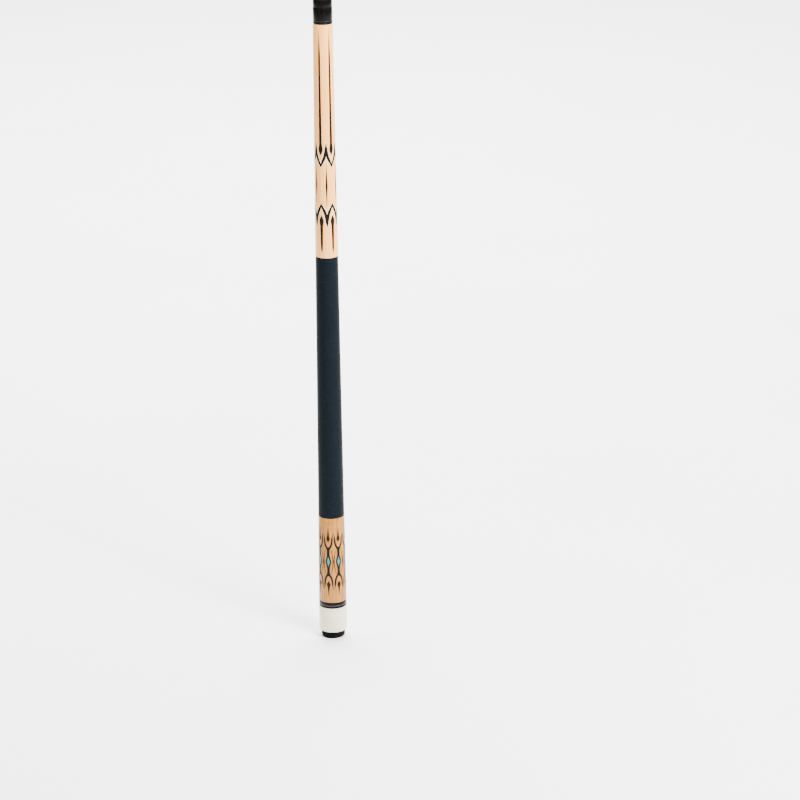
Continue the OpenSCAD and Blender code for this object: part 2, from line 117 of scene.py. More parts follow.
def add_ring(name, r, z):
    """A new circle, in edit mode with all of it selected."""
    bpy.ops.object.select_all(action="DESELECT")
    bpy.ops.mesh.primitive_circle_add(vertices=ROUND, radius=r, fill_type="NOTHING", location=(0, 0, 0))
    piece = named(name)
    edit("EDGE")
    bpy.ops.mesh.select_all(action="SELECT")
    bpy.ops.transform.translate(value=(0, 0, z))
    return piece


def add_point(name, x, z):
    """A new piece of one point, in edit mode with the point selected."""
    bpy.ops.object.select_all(action="DESELECT")
    bpy.ops.mesh.primitive_plane_add(size=0.001, location=(0, 0, 0))
    piece = named(name)
    edit()
    bpy.ops.mesh.select_all(action="SELECT")
    bpy.ops.mesh.merge(type="CENTER")
    bpy.ops.mesh.select_all(action="SELECT")
    bpy.ops.transform.translate(value=(x, 0, z))
    return piece


def pull(x, y, z):
    """Extrudes what is selected by a step."""
    bpy.ops.mesh.extrude_region_move(TRANSFORM_OT_translate={"value": (x, y, z)})


def pull_ring(r0, z0, r1, z1):
    """Extrudes the selected ring to a new radius and height."""
    pull(0, 0, z1 - z0)
    if r1 < MEETS:
        bpy.ops.mesh.merge(type="CENTER")
    elif abs(r1 - r0) > ON_AXIS:
        bpy.ops.transform.resize(value=(r1 / r0, r1 / r0, 1), center_override=(0, 0, z1))


def join(parts, name):
    """Joins parts into the first of them."""
    bpy.ops.object.select_all(action="DESELECT")
    for part in parts:
        part.select_set(True)
    bpy.context.view_layer.objects.active = parts[0]
    if len(parts) > 1:
        bpy.ops.object.join()
    return named(name)


def finish_piece(piece, edge=0.0):
    """Joins what meets, turns the faces outwards, softens the sharp edges and smooths the rest."""
    edit("EDGE")
    bpy.ops.mesh.select_all(action="SELECT")
    bpy.ops.mesh.remove_doubles(threshold=MEETS)
    bpy.ops.mesh.select_all(action="SELECT")
    bpy.ops.mesh.normals_make_consistent(inside=False)
    if edge:
        bpy.ops.mesh.select_all(action="DESELECT")
        bpy.ops.mesh.edges_select_sharp(sharpness=SOFTENED)
        bpy.ops.mesh.bevel(offset=edge, segments=2, affect="EDGES", profile=0.5)
    leave()
    bpy.ops.object.shade_smooth_by_angle(angle=SHADED_AS_ONE)
    return piece


def turned(name, profile, edge=0.05 * MM, hollow=False):
    """A piece turned on the cue's axis. The profile is a list of (radius, height) from the lower
    face up. A hollow piece's profile runs out, up and back down its bore, and closes on itself."""
    piece = add_ring(name, *profile[0])
    if not hollow and profile[0][0] > MEETS:
        bpy.ops.mesh.edge_face_add()
        bpy.ops.mesh.select_all(action="SELECT")
    for (r0, z0), (r1, z1) in zip(profile, profile[1:]):
        pull_ring(r0, z0, r1, z1)
    if hollow:
        r, z = profile[0]
        pull_ring(*profile[-1], r, z)
    elif profile[-1][0] > MEETS:
        bpy.ops.mesh.edge_face_add()
    leave()
    return finish_piece(piece, edge)


def dress(piece, look, body, node=None):
    """Gives a piece its finish and its body, and hides the CAD node that it stands for."""
    piece.data.materials.clear()
    piece.data.materials.append(look)
    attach(piece, body)
    if node:
        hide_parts(node)


def quarter(r, z, size, a0, a1, steps=6):
    """Points of a rounded corner about (r, z)."""
    return [
        (r + size * math.cos(math.radians(a0 + (a1 - a0) * i / steps)),
         z + size * math.sin(math.radians(a0 + (a1 - a0) * i / steps)))
        for i in range(steps + 1)
    ]


# ---- Inlays ------------------------------------------------------------------------------------

INLAY_DEPTH = 0.9 * MM
CUT_SHIFT = 0.013 * MM  # keeps the cuts between strips off the outline's own points


def drawn(name, outline):
    """A flat plate drawn from point to point in the XZ plane, then filled."""
    plate = add_point(name, *outline[0])
    for (x0, z0), (x1, z1) in zip(outline, outline[1:]):
        pull(x1 - x0, 0, z1 - z0)
    bpy.ops.mesh.select_all(action="SELECT")
    bpy.ops.mesh.edge_face_add()
    return plate


def inlaid(name, outline, mid, turns, proud, strip=0.5 * MM, flips=(False,)):
    """Plates of one outline, cut into strips, given their thickness and bent onto the cue at each
    angle, upright, turned over or both. The outline's x runs round the cue to the right and its z
    runs up from height mid."""
    plate = drawn(name, outline)
    bpy.ops.mesh.select_all(action="SELECT")
    bpy.ops.mesh.quads_convert_to_tris(quad_method="BEAUTY", ngon_method="BEAUTY")
    reach = max(abs(x) for x, z in outline)
    cuts = int(reach / strip) + 1
    for i in range(-cuts, cuts + 1):
        bpy.ops.mesh.select_all(action="SELECT")
        bpy.ops.mesh.bisect(plane_co=(i * strip + CUT_SHIFT, 0, 0), plane_no=(1, 0, 0))
    bpy.ops.mesh.select_all(action="SELECT")
    pull(0, INLAY_DEPTH, 0)
    leave()
    copies = []
    r_mid = surface_r(mid)
    for flip in flips:
        for turn in turns:
            copy = plate.copy()
            copy.data = plate.data.copy()
            bpy.context.collection.objects.link(copy)
            for v in copy.data.vertices:
                z = mid - v.co.z if flip else mid + v.co.z
                r = surface_r(z) + proud - v.co.y
                a = math.radians(turn - 90) + v.co.x / r_mid
                v.co = (r * math.cos(a), r * math.sin(a), z)
            copies.append(copy)
    bpy.data.objects.remove(plate)
    whole = join(copies, name)
    edit()
    bpy.ops.mesh.select_all(action="SELECT")
    bpy.ops.mesh.normals_make_consistent(inside=False)
    leave()
    bpy.ops.object.shade_smooth_by_angle(angle=SHADED_AS_ONE)
    return whole


def both_sides(right):
    """A closed outline from its right side."""
    return right + [(-x, z) for x, z in reversed(right) if abs(x) > ON_AXIS]


def without_repeats(points):
    """The points, less each one that is where the one before it is."""
    return [p for i, p in enumerate(points) if i == 0 or math.dist(p, points[i - 1]) > 0.001 * MM]


def through(a, b, c, d, t):
    """A number on the smooth run from b to c, with a before them and d after them."""
    return 0.5 * (2 * b + (c - a) * t + (2 * a - 5 * b + 4 * c - d) * t * t
                  + (3 * b - a - 3 * c + d) * t ** 3)


def smooth_line(points, steps):
    """A curve through the points."""
    line = []
    ends = [points[0]] + list(points) + [points[-1]]
    for p0, p1, p2, p3 in zip(ends, ends[1:], ends[2:], ends[3:]):
        for i in range(steps):
            t = i / steps
            line.append(tuple(through(a, b, c, d, t) for a, b, c, d in zip(p0, p1, p2, p3)))
    line.append(tuple(points[-1]))
    return line


# ---- Shader sums -------------------------------------------------------------------------------

class Value:
    """A socket that can be used in sums."""

    def __init__(self, look, socket):
        self.look, self.socket = look, socket

    def __add__(self, other):
        return self.look.sum("ADD", self, other)

    def __sub__(self, other):
        return self.look.sum("SUBTRACT", self, other)

    def __mul__(self, other):
        return self.look.sum("MULTIPLY", self, other)

    def __truediv__(self, other):
        return self.look.sum("DIVIDE", self, other)

    def __pow__(self, other):
        return self.look.sum("POWER", self, other)


class Look:
    """A material for one finish, built from nodes."""

    def __init__(self, name, **constants):
        self.material = bpy.data.materials.new(name)
        self.material.use_nodes = True
        self.tree = self.material.node_tree
        self.shader = self.tree.nodes["Principled BSDF"]
        for socket, value in constants.items():
            self.shader.inputs[socket.replace("_", " ")].default_value = value

    def node(self, kind, settings=None, sockets=(), out=0):
        """Adds a node. Its settings come first, then the values or links of its sockets."""
        n = self.tree.nodes.new(kind)
        for key, value in (settings or {}).items():
            if key == "stops":
                for i, (place, colour) in enumerate(value):
                    stop = n.color_ramp.elements[i] if i < 2 else n.color_ramp.elements.new(place)
                    stop.position, stop.color = place, (*colour, 1.0)
            else:
                setattr(n, key, value)
        named = sockets.items() if isinstance(sockets, dict) else enumerate(sockets)
        for key, value in named:
            if isinstance(value, Value):
                self.tree.links.new(value.socket, n.inputs[key])
            else:
                n.inputs[key].default_value = value
        return Value(self, n.outputs[out])

    def set(self, socket, value):
        self.tree.links.new(value.socket, self.shader.inputs[socket])

    def sum(self, operation, *values):
        return self.node("ShaderNodeMath", {"operation": operation}, values)

    def place(self):
        """Object coordinates, in metres."""
        return self.node("ShaderNodeTexCoord", out=3)

    def parts(self, vector):
        split = self.node("ShaderNodeSeparateXYZ", sockets=[vector]).socket.node
        return [Value(self, split.outputs[i]) for i in range(3)]

    def point(self, x, y, z):
        return self.node("ShaderNodeCombineXYZ", sockets=[x, y, z])

    def stretched(self, vector, x, y, z):
        return self.node("ShaderNodeVectorMath", {"operation": "MULTIPLY"}, [vector, (x, y, z)])

    def noise(self, vector, scale=1.0, detail=3.0, roughness=0.5, distortion=0.0):
        return self.node("ShaderNodeTexNoise", {"noise_dimensions": "3D"}, {
            "Vector": vector, "Scale": scale, "Detail": detail, "Roughness": roughness,
            "Distortion": distortion})

    def ramp(self, value, *stops):
        return self.node("ShaderNodeValToRGB", {"stops": stops}, [value])

    def limits(self, value, a, b, c=0.0, d=1.0):
        """A value that goes from c to d as another goes from a to b, and no further."""
        return self.node("ShaderNodeMapRange", {"clamp": True}, [value, a, b, c, d])

    def mix(self, share, a, b):
        """Two colours, mixed by a share."""
        n = self.tree.nodes.new("ShaderNodeMix")
        n.data_type = "RGBA"
        self.tree.links.new(share.socket, n.inputs[0])
        for socket, colour in ((n.inputs[6], a), (n.inputs[7], b)):
            if isinstance(colour, Value):
                self.tree.links.new(colour.socket, socket)
            else:
                socket.default_value = (*colour, 1.0)
        return Value(self, n.outputs[2])

    def bump(self, height, distance, strength=1.0):
        self.set("Normal", self.node("ShaderNodeBump", {}, {
            "Strength": strength, "Distance": distance, "Height": height}))

    def around(self):
        """Angle about the cue's axis, as turns, and height."""
        x, y, z = self.parts(self.place())
        angle = self.sum("ARCTAN2", y, x)
        return angle / FULL_TURN, z


LACQUER = {"Coat_Weight": 0.15, "Coat_Roughness": 0.04, "Coat_IOR": 1.45}


def maple(name, pale, dark, heart, figure=0.0, lacquer=True, ring_gap=2.2, pores=0.5):
    """Hard maple: yearly rings about a heart beside the cue, fine fibres along it, small pores,
    and a rippled figure across it."""
    look = Look(name, **(LACQUER if lacquer else {}), Specular_IOR_Level=0.1)
    at = look.place()
    sway = look.noise(look.stretched(at, 14, 14, 3.2), detail=2.0)
    x, y, z = look.parts(at)
    from_heart = look.node("ShaderNodeVectorMath", {"operation": "LENGTH"}, [
        look.point(x - heart[0] * MM, y - heart[1] * MM, 0.0)], out=1)
    grown = from_heart + sway * 6 * MM + z * 0.004
    rings = look.sum("SINE", grown * (FULL_TURN / (ring_gap * MM))) * 0.5 + 0.5
    late = rings ** 3.0
    fibre = look.noise(look.stretched(at, 2600, 2600, 48), detail=4.0, roughness=0.6)
    broad = look.noise(look.stretched(at, 260, 260, 11), detail=3.0)
    pore = look.limits(look.noise(look.stretched(at, 5200, 5200, 260), detail=1.0), 0.66, 0.74)
    ripple = look.noise(look.stretched(at, 55, 55, 170), detail=2.0, distortion=0.4)
    wave = look.limits(ripple, 0.36, 0.66)
    depth = late * 0.3 + fibre * 0.3 + broad * 0.42 - 0.02
    colour = look.mix(look.limits(depth, 0.22, 0.78), pale, dark)
    colour = look.mix(wave * figure, colour, [c * k for c, k in zip(dark, (0.86, 0.8, 0.7))])
    colour = look.mix(pore * pores * 0.5, colour, [c * 0.45 for c in dark])
    look.set("Base Color", colour)
    look.set("Roughness", look.limits(fibre + wave * figure, 0.2, 1.2, 0.34, 0.52))
    look.bump(fibre * 0.6 + pore * -0.8 + broad * 0.2, 0.02 * MM if lacquer else 0.05 * MM, 0.5)
    return look.material


def dyed_wood(name, deep, streak):
    """Close-grained wood, dyed nearly black, under a thin lacquer."""
    look = Look(name, Coat_Weight=0.06, Coat_Roughness=0.04, Coat_IOR=1.45, Specular_IOR_Level=0.03)
    at = look.place()
    fibre = look.noise(look.stretched(at, 3000, 3000, 70), detail=4.0, roughness=0.65)
    broad = look.noise(look.stretched(at, 420, 420, 20), detail=2.0)
    look.set("Base Color", look.mix(look.limits(fibre * 0.6 + broad * 0.5, 0.4, 0.75), deep, streak))
    look.set("Roughness", look.limits(fibre, 0.3, 0.7, 0.28, 0.45))
    look.bump(fibre, 0.015 * MM, 0.4)
    return look.material


def stone(name):
    """Reconstituted turquoise: blue-green with thin dark veins and paler clouds."""
    look = Look(name, **LACQUER, Specular_IOR_Level=0.2)
    at = look.place()
    cloud = look.noise(look.stretched(at, 420, 420, 420), detail=4.0)
    vein = look.node("ShaderNodeTexVoronoi", {"feature": "DISTANCE_TO_EDGE"}, {
        "Vector": look.stretched(at, 1.0, 1.0, 0.8), "Scale": 520.0})
    colour = look.ramp(
        cloud, (0.3, (0.002, 0.105, 0.115)), (0.52, (0.005, 0.17, 0.195)), (0.72, (0.025, 0.27, 0.34)))
    look.set("Base Color", look.mix(look.limits(vein, 0.015, 0.05, 0.75, 0.0), colour, (0.02, 0.05, 0.05)))
    look.set("Roughness", look.limits(cloud, 0.3, 0.7, 0.22, 0.36))
    look.bump(vein, 0.01 * MM, 0.3)
    return look.material


def polished(name, base, second, roughness, scuff=0.06, coat=0.0, clouds=90, **constants):
    """A turned and polished plastic: faint clouds in its colour, fine turning lines and scuffs."""
    look = Look(name, Coat_Weight=coat, Coat_Roughness=0.05, **constants)
    at = look.place()
    cloud = look.noise(look.stretched(at, clouds, clouds, clouds), detail=3.0)
    lines = look.noise(look.stretched(at, 30, 30, 9000), detail=2.0)
    wear = look.noise(look.stretched(at, 700, 700, 1600), detail=5.0, roughness=0.7)
    look.set("Base Color", look.mix(look.limits(cloud, 0.3, 0.7), base, second))
    look.set("Roughness", look.limits(wear * 0.7 + lines * 0.3, 0.35, 0.7, roughness, roughness + scuff))
    look.bump(lines * 0.7 + wear * 0.3, 0.004 * MM, 0.35)
    return look.material


def metal(name, base, roughness, lines_scale=12000, bump=0.004):
    """A turned metal: rings of fine tool lines, with a little tarnish."""
    look = Look(name, Metallic=1.0)
    at = look.place()
    lines = look.noise(look.stretched(at, 18, 18, lines_scale), detail=3.0)
    tarnish = look.noise(look.stretched(at, 160, 160, 160), detail=5.0, roughness=0.65)
    dull = [c * 0.62 for c in base]
    wear = lines * 0.5 + tarnish * 0.5
    look.set("Base Color", look.mix(look.limits(tarnish, 0.4, 0.8, 0.0, 0.5), base, dull))
    look.set("Roughness", look.limits(wear, 0.3, 0.7, roughness * 0.8, roughness * 1.5))
    look.bump(lines, bump * MM, 0.5)
    return look.material


def rubber(name):
    """Moulded rubber with a fine matt grain and dusty scuffs."""
    look = Look(name, Specular_IOR_Level=0.05)
    at = look.place()
    grain = look.noise(look.stretched(at, 4200, 4200, 4200), detail=3.0)
    dust = look.noise(look.stretched(at, 130, 130, 130), detail=6.0, roughness=0.7)
    dusty = look.limits(dust, 0.5, 0.78, 0.0, 0.5)
    look.set("Base Color", look.mix(dusty, (0.002, 0.0015, 0.0018), (0.014, 0.012, 0.012)))
    look.set("Roughness", look.limits(grain * 0.5 + dust * 0.5, 0.3, 0.7, 0.62, 0.86))
    look.bump(grain * 0.4 + dust * 0.6, 0.05 * MM, 0.5)
    return look.material


WRAP_PITCH = 0.72 * MM


def wound_thread(name):
    """Pressed linen thread: twisted plies along every turn, a few slubs, and a waxed shine on the
    crowns that dulls between the turns. Its colour has painted highlight on the crowns and plies and
    painted shade between the turns and between the plies."""
    look = Look(name, Specular_IOR_Level=0.03)
    turn, z = look.around()
    along = z / WRAP_PITCH - turn
    count = look.sum("FLOOR", along)
    across = look.sum("FRACT", along)
    crown = look.sum("SINE", across * math.pi)
    ply = look.sum("SINE", (turn * 120 + across * 1.4) * FULL_TURN) * 0.5 + 0.5
    x, y, height = look.parts(look.place())
    slub = look.noise(look.point(x * 120, y * 120, count * 1.7), detail=3.0, roughness=0.6)
    fuzz = look.noise(look.stretched(look.place(), 3200, 3200, 5200), detail=3.0)
    # painted highlight on the crowns and plies and painted shade in the hollows between turns and between
    # plies; the slubs are the thread's own tone
    painted_groove_shade_and_slubs = crown * 0.45 + ply * 0.2 + slub * 0.35
    colour = look.mix(look.limits(painted_groove_shade_and_slubs, 0.25, 0.95), (0.0010, 0.0019, 0.0029), (0.0045, 0.0080, 0.0115))
    colour = look.mix(look.limits(slub, 0.62, 0.8, 0.0, 0.5), colour, (0.014, 0.021, 0.028))
    look.set("Base Color", colour)
    look.set("Roughness", look.limits(crown * 0.6 + fuzz * 0.4, 0.2, 0.9, 0.62, 0.4))
    look.bump(crown * 0.5 + ply * 0.22 + fuzz * 0.2 + slub * 0.15, 0.05 * MM, 0.6)
    return look.material


def chalked_leather(name):
    """A leather tip: chalk on its scuffed crown, over a burnished side."""
    look = Look(name, Specular_IOR_Level=0.25)
    at = look.place()
    x, y, z = look.parts(at)
    crown = look.limits(z, high("tip") - 3.2 * MM, high("tip") - 1.6 * MM)
    hair = look.noise(look.stretched(at, 1500, 1500, 700), detail=5.0, roughness=0.7)
    dabs = look.noise(look.stretched(at, 520, 520, 520), detail=4.0)
    chalk = look.limits(dabs + crown * 0.5, 0.62, 0.92)
    leather = look.mix(look.limits(hair, 0.35, 0.7), (0.035, 0.012, 0.005), (0.10, 0.040, 0.016))
    blue = look.mix(look.limits(hair, 0.3, 0.7), (0.012, 0.06, 0.16), (0.045, 0.14, 0.30))
    look.set("Base Color", look.mix(chalk, leather, blue))
    look.set("Roughness", look.limits(chalk, 0.0, 1.0, 0.48, 0.95))
    look.bump(hair * 0.5 + dabs * 0.5, 0.12 * MM, 0.6)
    return look.material


def pressed_fibre(name):
    """Black vulcanised fibre, with the layers of its paper showing in its side."""
    look = Look(name, Specular_IOR_Level=0.4)
    at = look.place()
    flake = look.noise(look.stretched(at, 1200, 1200, 5200), detail=4.0)
    layers = look.limits(flake, 0.35, 0.7)
    look.set("Base Color", look.mix(layers, (0.003, 0.0025, 0.0025), (0.018, 0.014, 0.012)))
    look.set("Roughness", look.limits(flake, 0.3, 0.7, 0.42, 0.62))
    look.bump(flake, 0.02 * MM, 0.5)
    return look.material


arm_maple = maple("forearm maple", (0.97, 0.455, 0.13), (0.76, 0.31, 0.078), (38, 22), figure=0.10)
sleeve_maple = maple(
    "sleeve maple", (0.40, 0.178, 0.035), (0.24, 0.092, 0.0135), (-30, 18), figure=0.35, ring_gap=2.8)
shaft_maple = maple(
    "shaft maple", (0.93, 0.47, 0.16), (0.73, 0.33, 0.10), (24, -40),
    lacquer=False, ring_gap=1.6, pores=0.8)
core_maple = maple("core maple", (0.80, 0.44, 0.21), (0.62, 0.30, 0.13), (20, 26), lacquer=False)
veneer = maple("pale veneer", (0.95, 0.68, 0.38), (0.86, 0.54, 0.26), (60, 10), pores=0.2)
black_wood = dyed_wood("black points", (0.0018, 0.0014, 0.0012), (0.008, 0.0055, 0.0042))
dart_wood = dyed_wood("dark darts", (0.005, 0.0022, 0.0009), (0.028, 0.011, 0.004))
red_wood = dyed_wood("red-brown lines", (0.009, 0.0028, 0.002), (0.03, 0.008, 0.005))
turquoise = stone("turquoise")
cap_white = polished("cap white", (0.62, 0.60, 0.42), (0.56, 0.54, 0.365), 0.22, coat=0.4)
ferrule_white = polished("ferrule white", (0.66, 0.64, 0.50), (0.60, 0.575, 0.44), 0.26, coat=0.2)
phenolic = polished(
    "black phenolic", (0.0015, 0.0013, 0.0012), (0.004, 0.0035, 0.0032), 0.12,
    clouds=400, Specular_IOR_Level=0.05)
nickel = metal("nickel silver", (0.032, 0.031, 0.030), 0.18)
steel = metal("turned steel", (0.40, 0.40, 0.405), 0.24)
zinc = metal("zinc plate", (0.36, 0.365, 0.37), 0.34, lines_scale=900, bump=0.01)
brass = metal("insert brass", (0.52, 0.30, 0.08), 0.26)
foot_rubber = rubber("bumper rubber")
linen = wound_thread("wound linen")
leather = chalked_leather("tip leather")
fibre = pressed_fibre("pad fibre")


# ---- Butt end ----------------------------------------------------------------------------------

CORE_BORE = 11.1 * MM
STEM_R, STEM_BORE = 7 * MM, 7.1 * MM
SCREW_BORE = 2.7 * MM
WELL_R, WELL_Z, LIP = 5.7 * MM, 5 * MM, 0.5 * MM
FOOT_ROUND, CAP_ROUND = 2 * MM, 1.2 * MM
GROOVE_DEEP = 0.35 * MM


def core_piece(name, node, look):
    """A ring or sleeve on the handle's core, from its node's heights."""
    z0, z1 = low(node), high(node)
    inside = 0.001 * MM  # keeps a ring's edge off the height where the outline changes
    profile = [
        (CORE_BORE, z0), (surface_r(z0 + inside), z0), (surface_r(z1 - inside), z1), (CORE_BORE, z1)]
    dress(turned(name, profile, edge=0.06 * MM, hollow=True), look, "butt", node)


bumper_top, bumper_r = low("butt_cap"), radius("bumper")
groove_floor = bumper_r - GROOVE_DEEP
bumper_profile = (
    [(SCREW_BORE, WELL_Z), (WELL_R, WELL_Z), (WELL_R, LIP)]
    + quarter(WELL_R + LIP, LIP, LIP, 180, 270, 4)
    + [(bumper_r - 4.6 * MM, 0), (bumper_r - 4.2 * MM, GROOVE_DEEP)]
    + [(bumper_r - 3.6 * MM, GROOVE_DEEP), (bumper_r - 3.2 * MM, 0)]
    + quarter(bumper_r - FOOT_ROUND, FOOT_ROUND, FOOT_ROUND, -90, 0, 8)
    + [(bumper_r, bumper_top - 1.3 * MM), (groove_floor, bumper_top - 1.0 * MM)]
    + [(groove_floor, bumper_top - 0.6 * MM), (bumper_r, bumper_top - 0.3 * MM), (bumper_r, bumper_top)]
    + [(STEM_R, bumper_top), (STEM_R, high("bumper")), (SCREW_BORE, high("bumper"))]
)
bumper_foot = turned("bumper_foot", bumper_profile, edge=0.12 * MM, hollow=True)
dress(bumper_foot, foot_rubber, "butt", "bumper")

core_low = low("handle_core")
cap_profile = (
    [(STEM_BORE, bumper_top)]
    + quarter(butt_r - CAP_ROUND, bumper_top + CAP_ROUND, CAP_ROUND, -90, 0, 8)
    + [(butt_r, cap_top), (CORE_BORE, cap_top), (CORE_BORE, core_low), (STEM_BORE, core_low)]
)
dress(turned("cap", cap_profile, edge=0.06 * MM, hollow=True), cap_white, "butt", "butt_cap")
core_piece("cap_black_ring_lower", "cap_ring_lower", phenolic)
core_piece("cap_metal_ring", "cap_ring_silver", nickel)
core_piece("cap_black_ring_upper", "cap_ring_upper", phenolic)
core_piece("sleeve", "butt_sleeve", sleeve_maple)

# ---- Sleeve inlays -----------------------------------------------------------------------------

SLEEVE_TURN, SLEEVE_MOTIFS = 6.0, 8
FORK_LINE, FORK_END = 2.6 * MM, 1.9 * MM
STEM_W, LOZENGE_W, LOZENGE_H, LOZENGE_FRAME = 3.2 * MM, 3.6 * MM, 12.6 * MM, 1.5 * MM
BOW_W, BOW_BEND = 1.1 * MM, 2.2 * MM
motif_h = high("sleeve_darts") - low("sleeve_darts")
sleeve_mid = (high("sleeve_darts") + low("sleeve_darts")) / 2
sleeve_turns = [SLEEVE_TURN + (i + 0.5) * 360 / SLEEVE_MOTIFS for i in range(SLEEVE_MOTIFS)]
motif_room = surface_r(sleeve_mid) * math.pi / SLEEVE_MOTIFS
fork_base, fork_bowl, fork_tip = motif_h * 0.19, motif_h * 0.13, motif_h * 0.41
pocket_floor = surface_r(sleeve_mid + fork_tip) - 1.25 * MM
fork_reach = pocket_floor * math.pi / SLEEVE_MOTIFS - FORK_END / 2


def fork_edge(t, side):
    """A point beside the bowl's line, outside with side 1 and inside with side -1."""
    a = math.radians(t)
    line = FORK_LINE + (FORK_END - FORK_LINE) * t / 90
    away = Vector((fork_bowl * math.sin(a), -fork_reach * math.cos(a))).normalized()
    return (fork_reach * math.sin(a) + side * line / 2 * away.x,
            fork_base + fork_bowl * (1 - math.cos(a)) + side * line / 2 * away.y)


def spindle(s):
    """Half width of the frame round the lozenge at a share s of its height."""
    swell = LOZENGE_W / 2 + LOZENGE_FRAME - STEM_W / 2
    return STEM_W / 2 + swell * (0.5 + 0.5 * math.cos(math.pi * s))


frame_h = LOZENGE_H / 2 + 2.6 * MM
stem_side = [(spindle(i / 10), frame_h * i / 10) for i in range(11)]
stem_side.append((STEM_W / 2, fork_base - FORK_LINE * 1.1))
bowl_out = [fork_edge(t, 1) for t in range(20, 91, 7)]
bowl_in = [fork_edge(t, -1) for t in range(90, -1, -6)]
arm_side = fork_reach + FORK_END / 2
fork_side = stem_side + bowl_out + [(arm_side, fork_tip - 3 * MM), (arm_side, fork_tip)] + bowl_in
fork_lower = [(x, -z) for x, z in reversed(fork_side)]
fork_outline = both_sides(fork_lower + fork_side[1:])
forks = inlaid("fork_inlays", fork_outline, sleeve_mid, sleeve_turns, 0.012 * MM)
dress(forks, black_wood, "butt", "sleeve_forks")

lozenge = both_sides([(0, -LOZENGE_H / 2), (LOZENGE_W / 2, 0), (0, LOZENGE_H / 2)])
lozenges = inlaid("lozenge_inlays", lozenge, sleeve_mid, sleeve_turns, 0.02 * MM)
dress(lozenges, turquoise, "butt", "sleeve_lozenges")

dart_z = motif_h * 0.335
dart_belly = smooth_line([(x * MM, dart_z + z * MM) for x, z in (
    (0, -5), (1.3, -3.4), (2.05, -1.6), (2.1, -0.2), (1.65, 1.4), (1.15, 3), (0.85, 6))], 4)
dart = both_sides(dart_belly + [(0, motif_h / 2)])
darts = inlaid("dart_inlays", dart, sleeve_mid, sleeve_turns, 0.012 * MM, flips=(False, True))
dress(darts, dart_wood, "butt", "sleeve_darts")

bow_h = motif_h * 0.185
bow_far = motif_room - 0.08 * MM


def bow_line(s):
    """How far the hollow side of a bow is from its motif's middle, at a share s of its height."""
    return bow_far - BOW_W - BOW_BEND * (1 - math.cos(math.pi / 2 * s))


def bow_thickness(s):
    return BOW_W * math.cos(math.radians(75 * s))


shares = [i / 10 for i in range(-10, 11)]
bow = [(bow_line(s) + bow_thickness(s), bow_h * s) for s in shares]
bow = without_repeats(bow + [(bow_line(s), bow_h * s) for s in reversed(shares)])
bow_back = [(-x, z) for x, z in reversed(bow)]
lines_right = inlaid("side_lines_right", bow, sleeve_mid, sleeve_turns, 0.01 * MM)
lines_left = inlaid("side_lines_left", bow_back, sleeve_mid, sleeve_turns, 0.01 * MM)
side_lines = join([lines_right, lines_left], "side_line_inlays")
dress(side_lines, red_wood, "butt", "sleeve_side_lines")


# ---- Handle ------------------------------------------------------------------------------------

def wind(name, start, steps, pitch, turns, sides):
    """A line drawn from start by steps, each (outwards, up), and screwed round the cue's axis."""
    piece = add_point(name, *start)
    for out, up in steps:
        pull(out, 0, up)
    leave()
    screw = piece.modifiers.new("winding", "SCREW")
    screw.axis, screw.steps, screw.render_steps = "Z", sides, sides
    screw.screw_offset, screw.iterations = pitch, turns
    screw.use_merge_vertices, screw.merge_threshold = True, 1e-6
    bpy.ops.object.modifier_apply(modifier="winding")
    return piece


def cut_level(piece, z0, z1):
    """Keeps what is between two heights."""
    edit()
    for level, outer, inner in ((z0, False, True), (z1, True, False)):
        bpy.ops.mesh.select_all(action="SELECT")
        bpy.ops.mesh.bisect(
            plane_co=(0, 0, level), plane_no=(0, 0, 1), clear_outer=outer, clear_inner=inner)
    leave()


def close_ends(piece, levels, shares):
    """Draws each open end in to a share of its radius and fills it."""
    edit("EDGE")
    bpy.ops.mesh.select_all(action="SELECT")
    bpy.ops.mesh.remove_doubles(threshold=MEETS)
    for level, share in zip(levels, shares):
        bpy.ops.mesh.select_all(action="DESELECT")
        leave()
        for e in piece.data.edges:
            a, b = (piece.data.vertices[i].co.z for i in e.vertices)
            e.select = abs(a - level) < 0.001 * MM and abs(b - level) < 0.001 * MM
        edit("EDGE")
        pull(0, 0, 0)
        bpy.ops.transform.resize(value=(share, share, 1), center_override=(0, 0, level))
        bpy.ops.mesh.edge_face_add()
    leave()


THREAD_GROOVE, WRAP_TUCK, TUCK_H, WRAP_T = 0.045 * MM, 0.12 * MM, 0.35 * MM, 0.9 * MM


def wound_wrap():
    """A thread wound up the handle, with its crowns at the handle's surface, cut level at both
    ends and turned in there."""
    z0, z1 = wrap_low, wrap_top
    turns = int((z1 - z0) / WRAP_PITCH) + 4
    half = WRAP_PITCH * 0.5
    piece = wind("wrap", (handle_r, z0 - 2 * WRAP_PITCH), [(0, half), (0, half)], WRAP_PITCH, turns, 90)
    cut_level(piece, z0, z1)
    for v in piece.data.vertices:
        turn = math.atan2(v.co.y, v.co.x) / FULL_TURN
        groove = 0.5 + 0.5 * math.cos(FULL_TURN * ((v.co.z - z0) / WRAP_PITCH - turn))
        from_end = min(v.co.z - z0, z1 - v.co.z)
        tuck = WRAP_TUCK * max(0.0, 1 - from_end / TUCK_H)
        r = surface_r(v.co.z) - THREAD_GROOVE * groove - tuck
        v_r = math.hypot(v.co.x, v.co.y)
        v.co.x, v.co.y = v.co.x * r / v_r, v.co.y * r / v_r
    shares = [(surface_r(z) - WRAP_T) / (surface_r(z) - WRAP_TUCK) for z in (z0, z1)]
    close_ends(piece, (z0, z1), shares)
    return finish_piece(piece)


dress(wound_wrap(), linen, "butt", "handle_wrap")

# ---- Forearm -----------------------------------------------------------------------------------

